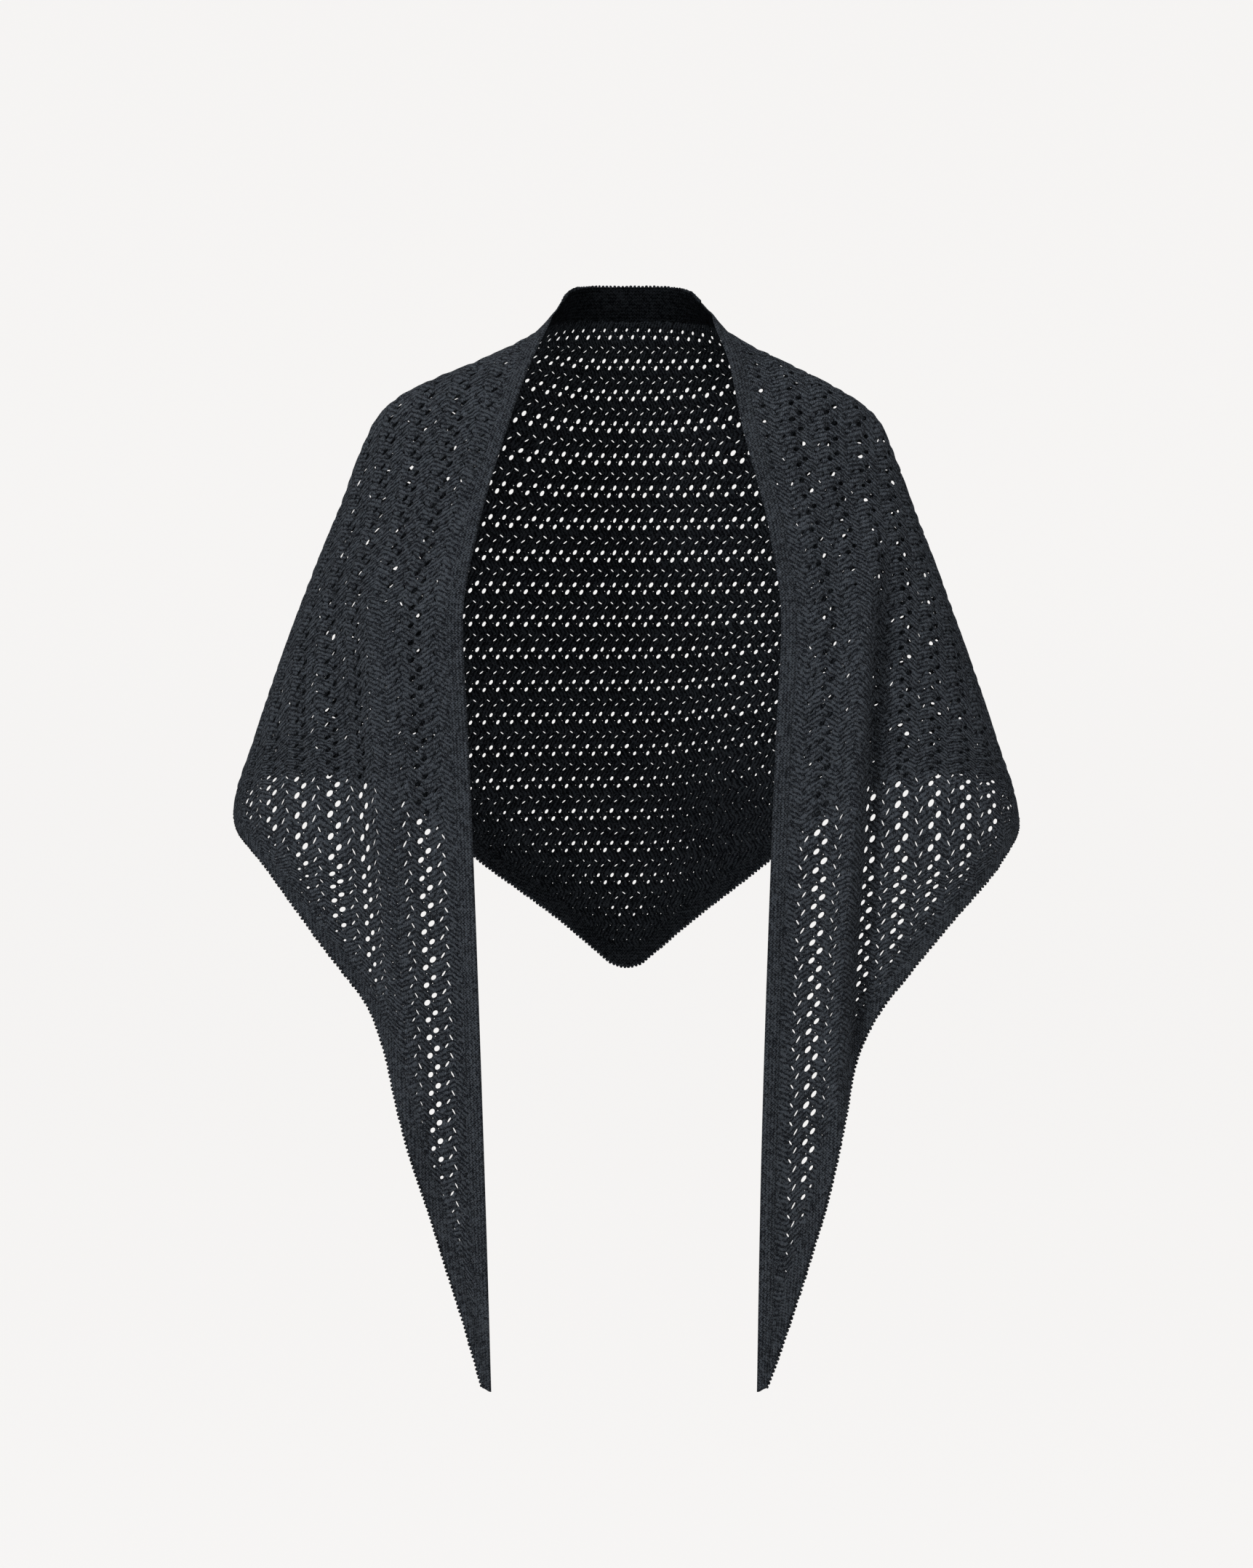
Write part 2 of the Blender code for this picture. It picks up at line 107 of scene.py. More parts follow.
FOLDS = {
    "side": (LEFT, LEFT, LEFT, RIGHT, RIGHT, RIGHT, RIGHT, LEFT, LEFT, RIGHT, RIGHT),
    "top": (-0.17, -0.20, -0.33, -0.13, -0.17, -0.40, -0.24, -0.24, -0.20, -0.26, -0.18),
    "bottom": (-0.74, -0.60, -0.86, -0.76, -0.66, -0.86, -0.50, -0.50, -0.46, -0.47, -0.44),
    "x_top": (0.204, 0.236, 0.146, 0.196, 0.214, 0.140, 0.265, 0.258, 0.205, 0.195, 0.090),
    "x_bottom": (0.166, 0.212, 0.128, 0.158, 0.176, 0.128, 0.285, 0.280, 0.235, 0.222, 0.105),
    "front": (1, 1, 1, 1, 1, 1, 0, 0, 0, 0, 0),
    "height": (0.013, -0.006, -0.004, 0.012, -0.014, -0.004, 0.009, 0.010, -0.008, -0.007,
               -0.004),
    "spread": (0.017, 0.016, 0.018, 0.013, 0.0105, 0.016, 0.022, 0.024, 0.022, 0.022, 0.026),
}
FOLD_FADE = 0.09
print("sections", len(SECTIONS["z"]), "folds", len(FOLDS["side"]))


# %% Curves through the tables
def follow(table, key, by, at):
    """A smooth curve through a table's column, which never swings past its rows."""
    x, y = np.array(table[by], float), np.array(table[key], float)
    if x[0] > x[-1]:
        x, y = x[::-1], y[::-1]
    at = np.clip(np.asarray(at, float), x[0], x[-1])
    width, rise = np.diff(x), np.diff(y) / np.diff(x)
    slope = np.concatenate([[rise[0]], np.zeros(len(x) - 2), [rise[-1]]])
    same = rise[:-1] * rise[1:] > 0
    before, after = width[:-1] + 2 * width[1:], 2 * width[:-1] + width[1:]
    steep = before / np.where(same, rise[:-1], 1) + after / np.where(same, rise[1:], 1)
    slope[1:-1] = np.where(same, (before + after) / np.where(same, steep, 1), 0)
    i = np.clip(np.searchsorted(x, at) - 1, 0, len(x) - 2)
    f = (at - x[i]) / width[i]
    return (y[i] * (1 + 2 * f) * (1 - f) ** 2 + slope[i] * width[i] * f * (1 - f) ** 2
            + y[i + 1] * f * f * (3 - 2 * f) + slope[i + 1] * width[i] * f * f * (f - 1))


def smooth_step(low, high, at):
    f = np.clip((np.asarray(at, float) - low) / (high - low), 0, 1)
    return f * f * (3 - 2 * f)


def half_name(hand):
    return "half_left" if hand == LEFT else "half_right"


# %% The form, and the folds on it
def on_form(turn, z, hand):
    """The point of the worn form at a turn from the middle of the back, and a height."""
    half = follow(SECTIONS, half_name(hand), "z", z)
    back, front = follow(SECTIONS, "back", "z", z), follow(SECTIONS, "front", "z", z)
    power = 2 / follow(SECTIONS, "round", "z", z)
    across, along = np.sin(turn), np.cos(turn)
    depth = np.where(along > 0, back, front)
    x = hand * half * np.abs(across) ** power
    y = depth * np.sign(along) * np.abs(along) ** power
    return np.stack([x, y, z + 0 * x], axis=-1)


def girths(z, hand, samples=97):
    """Turns round half of each level section, and the distance round it to each."""
    turn = np.linspace(0, math.pi, samples)
    z = np.atleast_1d(z)
    points = on_form(turn[None, :], z[:, None] + 0 * turn[None, :], hand)
    steps = np.linalg.norm(np.diff(points, axis=1), axis=2)
    return turn, np.concatenate([np.zeros((len(z), 1)), np.cumsum(steps, axis=1)], axis=1)


def turn_of(x, z, side, hand):
    half = follow(SECTIONS, half_name(hand), "z", z)
    power = follow(SECTIONS, "round", "z", z) / 2
    turn = np.arcsin(np.clip(x / half, 0, 1) ** power)
    return np.where(side > 0.5, math.pi - turn, turn)


def fold_line(i, z):
    """How far from the middle a fold lies at a height."""
    top, bottom = FOLDS["top"][i], FOLDS["bottom"][i]
    f = np.clip((top - z) / (top - bottom), 0, 1)
    return FOLDS["x_top"][i] + (FOLDS["x_bottom"][i] - FOLDS["x_top"][i]) * f


def fold_shows(i, z, turn):
    top, bottom = FOLDS["top"][i], FOLDS["bottom"][i]
    in_front = smooth_step(math.radians(80), math.radians(100), turn)
    fade = smooth_step(0, FOLD_FADE, top - z) * smooth_step(0, FOLD_FADE, z - bottom)
    return fade * (in_front if FOLDS["front"][i] else 1 - in_front)


def fold_height(points, turn, hand):
    """How far the folds lift the cloth off the form."""
    x, z = np.abs(points[..., 0]), points[..., 2]
    total = np.zeros(x.shape)
    for i in range(len(FOLDS["side"])):
        if FOLDS["side"][i] == hand:
            bump = np.exp(-((x - fold_line(i, z)) / FOLDS["spread"][i]) ** 2)
            total += FOLDS["height"][i] * bump * fold_shows(i, z, turn)
    return total


def outward(turn, z, hand):
    step_turn, step_z = 0.004, 0.0015
    round_it = on_form(turn + step_turn, z, hand) - on_form(turn - step_turn, z, hand)
    up = on_form(turn, z + step_z, hand) - on_form(turn, z - step_z, hand)
    normal = np.cross(round_it, up) * -hand
    return normal / np.maximum(np.linalg.norm(normal, axis=-1, keepdims=True), 1e-12)


# %% Edges, and one column of lace from edge to edge
def edge_rows(table, hand):
    """An edge's rows with the turn of each, and a mirrored row before the first."""
    x, z = table["left" if hand == LEFT else "right"], table["z"]
    turns = [float(turn_of(*row, hand)) for row in zip(x, z, table["side"])]
    return {"column": (-table["column"][1], *table["column"]), "x": (-x[1], *x),
            "z": (z[1], *z), "turn": (-turns[1], *turns)}


def edge_points(rows, columns, hand):
    """Points of an edge as the distance round the form from the middle, and z."""
    x, z, near = (follow(rows, key, "column", columns) for key in ("x", "z", "turn"))
    exact = turn_of(x, z, near > math.pi / 2, hand)
    turn = near + (exact - near) * smooth_step(*SURE_TURN, np.abs(near - math.pi / 2))
    turns, round_it = girths(z, hand)
    return np.array([np.interp(t, turns, row) for t, row in zip(turn, round_it)]), z


def column_paths(columns, hand, samples=73):
    """Points down each column, the distance from the long edge to each, and the turn."""
    g0, z0 = edge_points(edge_rows(LONG_EDGE, hand), columns, hand)
    g3, z3 = edge_points(edge_rows(SHORT_EDGE, hand), columns, hand)
    reach = np.hypot(g0 - g3, z0 - z3)
    start = np.radians(follow(LEANS, "start", "column", columns))
    end = np.radians(follow(LEANS, "end", "column", columns))
    g1, z1 = g0 - START_PULL * reach * np.cos(start), z0 + START_PULL * reach * np.sin(start)
    g2, z2 = g3 + END_PULL * reach * np.cos(end), z3 - END_PULL * reach * np.sin(end)
    f = np.linspace(0, 1, samples)
    weights = ((1 - f) ** 3, 3 * f * (1 - f) ** 2, 3 * f * f * (1 - f), f ** 3)
    g = sum(w * np.array(v)[:, None] for w, v in zip(weights, (g0, g1, g2, g3)))
    z = sum(w * np.array(v)[:, None] for w, v in zip(weights, (z0, z1, z2, z3)))
    turns, round_it = girths(z.ravel(), hand)
    turn = np.array([np.interp(a, row, turns) for a, row in zip(g.ravel(), round_it)])
    turn = turn.reshape(g.shape)
    form = on_form(turn, z, hand)
    points = form + outward(turn, z, hand) * fold_height(form, turn, hand)[..., None]
    steps = np.linalg.norm(np.diff(points, axis=1), axis=2)
    along = np.concatenate([np.zeros((len(points), 1)), np.cumsum(steps, axis=1)], axis=1)
    return points, along, turn


# %% [markdown]
# Every piece reads the same finely spaced columns, so neighbours share their edges
# exactly. The columns are worked out once, four to each repeat of the lace.

# %% All the columns
FINE = 0.25  # columns between the drape's lines
half_count = round((TIP_COLUMN - 0.1) / FINE)
half_columns = np.arange(half_count + 1) * FINE
paths = {hand: column_paths(half_columns, hand) for hand in (LEFT, RIGHT)}
all_columns = np.concatenate([-half_columns[:0:-1], half_columns])
all_points = np.concatenate([paths[LEFT][0][:0:-1], paths[RIGHT][0]])
all_along = np.concatenate([paths[LEFT][1][:0:-1], paths[RIGHT][1]])
all_turn = np.concatenate([paths[LEFT][2][:0:-1], paths[RIGHT][2]])
depths = all_along[:, -1]
print(len(all_columns), "lines, the deepest", round(float(depths.max()), 3), "m")


def band_width(columns):
    share = smooth_step(*BAND_NARROWS, np.abs(columns))
    return BAND_NAPE + (BAND_FRONT - BAND_NAPE) * share


def lace_end(hand):
    """The last column with lace between the band and the edging."""
    mine = np.sign(all_columns) == hand
    wide = depths > BAND_FRONT + EDGING + 0.0012
    return np.abs(all_columns[mine & wide]).max()


LACE_END = {hand: lace_end(hand) for hand in (LEFT, RIGHT)}


def near_tip(columns):
    last = np.where(columns < 0, LACE_END[LEFT], LACE_END[RIGHT])
    return smooth_step(0, 0.5, np.abs(columns) - last)


def band_limit(columns):
    share, depth = near_tip(columns), np.interp(columns, all_columns, depths)
    return band_width(columns) * (1 - share) + depth / 2 * share


def edging_limit(columns):
    share, depth = near_tip(columns), np.interp(columns, all_columns, depths)
    return (depth - EDGING) * (1 - share) + depth / 2 * share


# %% [markdown]
# A drape is a plain grid of faces over one stretch of the cloth. Its UV map holds the
# lace's own measures, column and row, so a point of the flat lace finds its place on it.
# Behind the shoulders the worn form stretches the cloth a little from row to row, and a
# short table says by how much, and how far the rows dip there.

# %% Rows of lace
ROW = 0.028  # metres from one repeat to the next, across the cloth
FIRST_ROW = 0.0085  # and from the long edge to the first
PHASE = 0.27  # columns from a whole one to the start of a repeat
STRETCH = {
    "column": (0.0, 4.0, 8.0, 12.0, 16.0, 20.0, 26.0, 73.0),
    "share": (1.0, 1.0, 1.02, 1.13, 1.14, 1.08, 1.0, 1.0),
    "dip": (0.0, 0.001, 0.004, 0.0065, 0.0065, 0.004, 0.0, 0.0),
}


def row_at(columns, distance):
    """The row of lace at a distance from the long edge."""
    share = follow(STRETCH, "share", "column", np.abs(columns))
    dip = follow(STRETCH, "dip", "column", np.abs(columns))
    return ((distance - dip) / share - FIRST_ROW) / ROW


def cloth_grid(first, last, near, far, rows, step=1):
    """Points, normals, columns and distances over a stretch of the cloth."""
    pick = np.flatnonzero((all_columns >= first - 1e-6) & (all_columns <= last + 1e-6))[::step]
    columns = all_columns[pick]
    low, high = near(columns), far(columns)
    distance = low[:, None] + (high - low)[:, None] * np.linspace(0, 1, rows + 1)[None, :]
    ends = (np.maximum(pick - 1, 0), pick, np.minimum(pick + 1, len(all_columns) - 1))

    def at(lines, d):
        return np.stack([[np.interp(row, all_along[i], all_points[i][:, k])
                          for i, row in zip(lines, d)] for k in range(3)], axis=-1)

    points = at(ends[1], distance)
    sideways = at(ends[2], distance) - at(ends[0], distance)
    limit = depths[pick][:, None]
    down = (at(ends[1], np.minimum(distance + 0.004, limit))
            - at(ends[1], np.maximum(distance - 0.004, 0)))
    normals = np.cross(sideways, down)
    normals /= np.maximum(np.linalg.norm(normals, axis=-1, keepdims=True), 1e-12)
    return points, normals, columns, distance


def grid_mesh(name, points, u, v):
    """A grid of faces with a UV map."""
    count, rows = points.shape[:2]
    index = np.arange(count * rows).reshape(count, rows)
    faces = np.stack([index[:-1, :-1], index[:-1, 1:], index[1:, 1:], index[1:, :-1]], axis=-1)
    mesh = bpy.data.meshes.new(name)
    mesh.from_pydata(points.reshape(-1, 3).tolist(), [], faces.reshape(-1, 4).tolist())
    layer = mesh.uv_layers.new(name="UVMap")
    corners = np.empty(len(mesh.loops), np.int32)
    mesh.loops.foreach_get("vertex_index", corners)
    flat = np.stack([u.ravel(), v.ravel()], axis=-1)[corners]
    layer.data.foreach_set("uv", flat.astype(np.float32).ravel())
    thing = bpy.data.objects.new(name, mesh)
    bpy.context.scene.collection.objects.link(thing)
    return thing


# %% [markdown]
# Node trees are easier to read as Python. One small class wraps a socket, so that values
# in a tree can be added, multiplied and compared, and one method makes every other node
# from its type, its settings and the values of its sockets. It serves shaders and
# Geometry Nodes alike.

# %% A small language for node trees
class Value:
    """A socket that can be used in a sum."""

    def __init__(self, graph, socket):
        self.graph, self.socket = graph, socket

    def math(self, operation, *others):
        return self.graph.node("ShaderNodeMath", {"operation": operation}, self, *others)

    def __add__(self, other):
        return self.math("ADD", other)

    def __sub__(self, other):
        return self.math("SUBTRACT", other)

    def __rsub__(self, other):
        return self.graph.node("ShaderNodeMath", {"operation": "SUBTRACT"}, other, self)

    def __mul__(self, other):
        return self.math("MULTIPLY", other)

    def __truediv__(self, other):
        return self.math("DIVIDE", other)

    __radd__, __rmul__ = __add__, __mul__

    def step(self, low, high):
        """0 below low, 1 above high, and smooth between them."""
        return self.graph.node("ShaderNodeMapRange", {"interpolation_type": "SMOOTHSTEP"},
                               self, low, high, 0.0, 1.0)

    def fraction(self):
        return self.math("FRACT")


class Graph:
    """A node tree, built node by node."""

    def __init__(self, tree):
        self.tree = tree

    def put(self, value, socket):
        if isinstance(value, Value):
            self.tree.links.new(value.socket, socket)
        else:
            socket.default_value = value

    def raw(self, kind, settings, *values, **named):
        node = self.tree.nodes.new(kind)
        for key, value in settings.items():
            setattr(node, key, value)
        sockets = [socket for socket in node.inputs if socket.enabled]
        for value, socket in zip(values, sockets):
            self.put(value, socket)
        by_name = {socket.name.replace(" ", "_"): socket for socket in sockets}
        for key, value in named.items():
            self.put(value, by_name[key])
        return node

    def node(self, kind, settings, *values, out=0, **named):
        node = self.raw(kind, settings, *values, **named)
        return Value(self, [socket for socket in node.outputs if socket.enabled][out])

    def split(self, vector):
        node = self.raw("ShaderNodeSeparateXYZ", {}, vector)
        return [Value(self, socket) for socket in node.outputs]

    def vector(self, x, y, z):
        return self.node("ShaderNodeCombineXYZ", {}, x, y, z)

    def vectors(self, operation, *values, **named):
        return self.node("ShaderNodeVectorMath", {"operation": operation}, *values, **named)

    def mix(self, share, low, high):
        """A colour between two others."""
        return self.node("ShaderNodeMix", {"data_type": "RGBA"}, share, low, high)


# %% [markdown]
# The wool is a dark charcoal navy, heathered: grey and blue fibres are spun together, so
# close up it is a fine mottle and not one colour. Knitted stitches are little V shapes,
# one above the other in wales. The UV map gives the shader columns and rows of lace, and
# each repeat holds a whole number of stitches, so the Vs run on from piece to piece.
# Their wales lean with the lace, to one side above the slits and to the other below
# them, which is the herringbone of the real cloth.

# %% The wool
STITCHES_ACROSS, STITCHES_DOWN = 5, 10  # in one repeat of the plain knit
STRANDS, STRAND_SWING = 3.6, 0.62  # to a column of lace, and how many columns they swing
WOOL_DARK = (0.0100, 0.0120, 0.0165, 1)
WOOL_MID = (0.0850, 0.0990, 0.1180, 1)
WOOL_LIGHT = (0.2000, 0.2200, 0.2450, 1)
LEAN = 0.28  # columns that a leaf leans across


def wool(name, brightness, relief, lean, fuzz):
    """Heathered wool in knit stitches; lean is how far the wales follow the lace."""
    material = bpy.data.materials.new(name)
    material.use_nodes = True
    graph = Graph(material.node_tree)
    shader = material.node_tree.nodes["Principled BSDF"]
    column, row, _ = graph.split(graph.node("ShaderNodeTexCoord", {}, out=2))
    spot = graph.node("ShaderNodeTexCoord", {}, out=3)
    down = row.fraction()
    tilt = (down.step(0.26, 0.56) - down.step(0.72, 1.0)) * LEAN
    wander = graph.node("ShaderNodeTexNoise", {}, spot, Scale=260.0, Detail=1.0)
    wale = column - tilt * lean + wander * 0.06
    leg = ((wale * STITCHES_ACROSS).fraction() - 0.5).math("ABSOLUTE")
    course = row * STITCHES_DOWN + leg * 1.4 + wander * 0.5
    if lean:
        zigzag = (row.fraction() - 0.5).math("ABSOLUTE") * 2
        course = (column + zigzag * STRAND_SWING + wander * 0.28) * STRANDS
        leg = ((row * STITCHES_DOWN + column * 2 + wander).fraction() - 0.5).math("ABSOLUTE")
    course = course.fraction()
    strand = 1 - ((leg - 0.25).math("ABSOLUTE") * 4.0).math("POWER", 2.0)
    gap = course.step(0.0, 0.35) * (1 - course.step(0.60, 1.0))
    stitch_relief_and_gap_shade = gap * (strand.math("MAXIMUM", 0.0) * 0.5 + 0.5)
    fine = graph.node("ShaderNodeTexNoise", {}, spot, Scale=1300.0, Detail=2.0)
    mottle = graph.node("ShaderNodeTexNoise", {}, spot, Scale=300.0, Detail=3.0,
                        Roughness=0.65)
    broad = graph.node("ShaderNodeTexNoise", {}, spot, Scale=30.0, Detail=2.0)
    # The stitch term darkens the gaps between the stitches: painted shade of the knit's
    # relief, which the bump also carries. The mottle, broad and fine terms are the heathered
    # wool's own uneven colour.
    tone = stitch_relief_and_gap_shade * 0.95 + mottle * 3.4 + broad * 0.5 - 2.04
    colour = graph.mix(tone.step(0.0, 1.0), WOOL_DARK, WOOL_MID)
    colour = graph.mix(fine.step(0.52, 0.70) * 0.55, colour, WOOL_LIGHT)
    # A brightness below 1 darkens the whole colour: painted shade.
    colour = graph.node("ShaderNodeHueSaturation", {}, Color=colour, Value=brightness)
    graph.put(colour, shader.inputs["Base Color"])
    shader.inputs["Roughness"].default_value = 0.9
    shader.inputs["Specular IOR Level"].default_value = 0.0
    shader.inputs["Sheen Weight"].default_value = fuzz
    shader.inputs["Sheen Roughness"].default_value = 0.6
    height = stitch_relief_and_gap_shade + fine * 0.5 + mottle * 0.6
    bump = graph.node("ShaderNodeBump", {}, Strength=relief, Distance=0.0050, Height=height)
    graph.put(bump, shader.inputs["Normal"])
    return material


LACE_OUT = wool("wool_lace", 1.0, 0.8, 1.0, 0.02)
# The lace's inside faces are the same wool painted darker: painted shade inside the worn
# cloth.
LACE_IN_PAINTED_SHADE = wool("wool_lace_inside", 0.27, 0.5, 1.0, 0.0)
PLAIN_OUT = wool("wool_plain", 1.0, 0.8, 0.0, 0.02)
# The inside faces of the bands and edgings are the same wool painted darker: painted shade
# inside the worn cloth.
PLAIN_IN_PAINTED_SHADE = wool("wool_plain_inside", 0.12, 0.5, 0.0, 0.0)
EDGING_IN_PAINTED_SHADE = wool("wool_edging_inside", 0.27, 0.5, 0.0, 0.0)
# The lumps along the open edges are the same wool painted darker: painted shade along the
# rolled edge.
EDGE_PAINTED_SHADE = wool("wool_edge", 0.40, 0.5, 0.0, 0.0)
print("materials", [m.name for m in (LACE_OUT, LACE_IN_PAINTED_SHADE, PLAIN_OUT, PLAIN_IN_PAINTED_SHADE, EDGING_IN_PAINTED_SHADE, EDGE_PAINTED_SHADE)])

# %% [markdown]
# One repeat of the lace, charted in its own units: 1 across is one column and 1
# down is one row. Two large holes lie side by side, half a column apart, and below them
# come two slanted slits, with tiny pinholes beside the large holes. Between the holes the
# knit gathers into leaves, one from each large hole down to a slit and one from each
# slit down to the next large hole. Their middles stand proud and they meet in grooves.

# %% One repeat, charted
CELL = (0.0145, ROW)  # metres, about
HOLES = {
    "across": (0.75, 0.25, 0.56, 0.05, 0.41, 0.91),
    "down": (0.00, 0.225, 0.556, 0.700, 0.035, 0.200),
    "half_across": (0.170, 0.170, 0.145, 0.168, 0.034, 0.034),
    "half_down": (0.078, 0.080, 0.024, 0.026, 0.016, 0.016),
    "slope": (-0.042, -0.042, 0.042, -0.052, 0.0, 0.0),
    "corners": (10, 10, 6, 6, 4, 4),
}
LEAF_ONE = {"down": (0.06, 0.28, 0.53, 0.68), "across": (0.75, 0.75, 1.05, 1.05)}
LEAF_TWO = {"down": (0.60, 0.745, 0.92, 1.16), "across": (0.56, 0.55, 0.28, 0.25)}
HALF_THICK, RIM, LEAF_HEIGHT = 0.65, 0.25, 0.85  # millimetres


def leaf(table, across, down):
    """How high one line of leaves stands, from 0 in its grooves to 1 down its middle."""
    top, bottom = table["down"][0], table["down"][-1]
    total = np.zeros(np.shape(across))
    for turn in (-1, 0, 1):
        v = down + turn
        middle = np.interp(v, table["down"], table["across"])
        off = (across - middle + 0.5) % 1.0 - 0.5
        ends = smooth_step(top, top + 0.10, v) * smooth_step(0, 0.10, bottom - v)
        total = np.maximum(total, np.cos(math.pi * off) ** 2 * ends)
    return total


def relief(across, down):
    return np.maximum(leaf(LEAF_ONE, across, down), leaf(LEAF_TWO, across, down))


def outline(i, shift=(0, 0)):
    """The corners of one hole."""
    count = HOLES["corners"][i]
    turn = (np.arange(count) + 0.5) * 2 * math.pi / count
    across = HOLES["across"][i] + shift[0] + HOLES["half_across"][i] * np.cos(turn)
    down = (HOLES["down"][i] + shift[1] + HOLES["slope"][i] * np.cos(turn)
            + HOLES["half_down"][i] * np.sin(turn))
    return np.stack([across, down], axis=-1)


def clear_of_holes(points, margin):
    keep = np.ones(len(points), bool)
    for i in range(len(HOLES["across"])):
        for shift in ((a, b) for a in (-1, 0, 1, 2) for b in (-1, 0, 1, 2)):
            off = points - (HOLES["across"][i] + shift[0], HOLES["down"][i] + shift[1])
            off[:, 1] -= HOLES["slope"][i] * off[:, 0] / HOLES["half_across"][i]
            reach = np.hypot(off[:, 0] / (HOLES["half_across"][i] + margin / CELL[0]),
                             off[:, 1] / (HOLES["half_down"][i] + margin / CELL[1]))
            keep &= reach > 1
    return keep


def field_points(rows, per_row, margin):
    """Points between the holes, on the middles and grooves of the leaves."""
    points = []
    for down in rows:
        middle = np.interp(down, LEAF_ONE["down"], LEAF_ONE["across"])
        if down > LEAF_ONE["down"][-1]:
            middle = np.interp(down, LEAF_TWO["down"], LEAF_TWO["across"])
        points += [((middle + j / per_row) % 1.0, down) for j in range(per_row)]
    points = np.array(points)
    return points[clear_of_holes(points, margin)]


OUTER_ROWS = (-0.085, 0.055, 0.14, 0.225, 0.31, 0.395, 0.48, 0.56, 0.64, 0.72, 0.805)
outer_points = field_points(OUTER_ROWS, 8, 0.0006)
inner_points = field_points((0.09, 0.38, 0.63, 0.84), 3, 0.0010)
print("points between the holes:", len(outer_points), "outside,", len(inner_points), "inside")

# %% [markdown]
# The repeat is meshed as part of an endless sheet: nine copies of its points are joined
# into triangles at once, and only the triangles whose middles lie in the middle copy are
# kept. So neighbouring repeats fit edge to edge, whatever the triangles do.

# %% One repeat, meshed
WINDOW = (-0.5, -0.15)  # the lowest column and row of the kept copy


def joined(between):
    """Triangles of one repeat of one face of the lace, as corner points and hole numbers."""
    points, edges, hole_of = [], [], []
    shifts = [(a, b) for a in (-2, -1, 0, 1, 2) for b in (-1, 0, 1, 2)]
    for number, shift in enumerate(shifts):
        for i in range(len(HOLES["across"])):
            corners = outline(i, shift)
            first = len(points)
            points += [tuple(corner) for corner in corners]
            edges += [(first + j, first + (j + 1) % len(corners)) for j in range(len(corners))]
            hole_of += [number * 10 + i] * len(corners)
        points += [tuple(point) for point in between + shift]
        hole_of += [-1] * len(between)
    flat = [Vector((u * CELL[0] * 1000, v * CELL[1] * 1000)) for u, v in points]
    made = geometry.delaunay_2d_cdt(flat, edges, [], 0, 1e-5, True)
    source = [origin[0] for origin in made[3]]
    points, hole_of = np.array(points), np.array(hole_of)
    triangles = []
    for face in made[2]:
        corners = [source[i] for i in face]
        middle = points[corners].mean(axis=0)
        inside = (middle >= WINDOW).all() and (middle < np.add(WINDOW, 1)).all()
        holes = set(hole_of[corners])
        if inside and not (len(holes) == 1 and -1 not in holes):
            triangles.append(corners)
    return points, hole_of, triangles


def hole_centre(number):
    i = number % 10
    shifts = [(a, b) for a in (-2, -1, 0, 1, 2) for b in (-1, 0, 1, 2)]
    a, b = shifts[number // 10]
    return np.array([HOLES["across"][i] + a, HOLES["down"][i] + b])


def lace_cell():
    """The repeat as a mesh: an outer face, an inner face, and the walls of the holes."""
    spots, pulls, faces, inner_face, known = [], [], [], [], {}

    def corner(point, number, outside):
        key = (round(point[0], 5), round(point[1], 5), outside)
        if key not in known:
            known[key] = len(spots)
            rim = number >= 0
            lift = LEAF_HEIGHT * float(relief(point[0], point[1])) if outside else 0.0
            high = RIM if rim else HALF_THICK + lift
            spots.append((point[0], point[1], high if outside else -high))
            pulls.append((*(hole_centre(number) - point), 0) if rim else (0, 0, 0))
        return known[key]

    for outside, between in ((True, outer_points), (False, inner_points)):
        points, hole_of, triangles = joined(between)
        for corners in triangles:
            order = corners if outside else corners[::-1]
            faces.append([corner(points[i], hole_of[i], outside) for i in order])
            inner_face.append(not outside)
    middle_copy = 9
    for i in range(len(HOLES["across"])):
        corners = outline(i)
        number = middle_copy * 10 + i
        ring = [[corner(point, number, side) for point in corners] for side in (True, False)]
        for j in range(len(corners)):
            k = (j + 1) % len(corners)
            faces.append([ring[0][j], ring[0][k], ring[1][k], ring[1][j]])
            inner_face.append(False)
    mesh = bpy.data.meshes.new("lace_cell")
    mesh.from_pydata(spots, [], faces)
    pull = mesh.attributes.new("pull", "FLOAT_VECTOR", "POINT")
    pull.data.foreach_set("vector", np.array(pulls, np.float32).ravel())
    mesh.attributes.new("inner", "BOOLEAN", "FACE").data.foreach_set("value", inner_face)
    cell = bpy.data.objects.new("lace_cell", mesh)
    bpy.context.scene.collection.objects.link(cell)
    return cell


cell = lace_cell()
triangle_count = sum(len(face.vertices) - 2 for face in cell.data.polygons)
print("one repeat:", len(cell.data.vertices), "points,", triangle_count, "triangles")

# %% [markdown]
# The drape carries the lace's place in space, and three more numbers at each point: how
# far its holes are open, how much it swells, and where it lies in the lace. The holes
# are small beside the bands and edgings, where the knitter had only begun them, and they
# are pressed shut along the ridge of each front's largest fold.

# %% The drapes that the lace hangs on
UNDER = 0.0055  # how far the lace runs on under a band or edging
COVER = 0.0030  # how far a band or edging covers the lace
EVEN_PITCH = 0.0118  # metres from column to column across the back
EVEN_RISE = {  # rows that a level row rises 0.1 m out
    "z": (-0.02, -0.042, -0.068, -0.095, -0.20, -0.26, -0.32, -0.40),
    "left": (0.42, 0.40, 0.22, 0.12, 0.02, -0.01, -0.03, -0.06),
    "right": (0.20, 0.19, 0.13, 0.03, 0.02, 0.13, 0.25, 0.28),
}
MAP = ((-80.0, 160.0), (-2.0, 40.0))  # column and row to the drape's own map, 0 to 1
MAIN_RIDGES = (0, 3)  # rows of FOLDS
SNUG = {"x": 0.085, "z": -0.395, "reach": 0.052, "shut": 0.85}


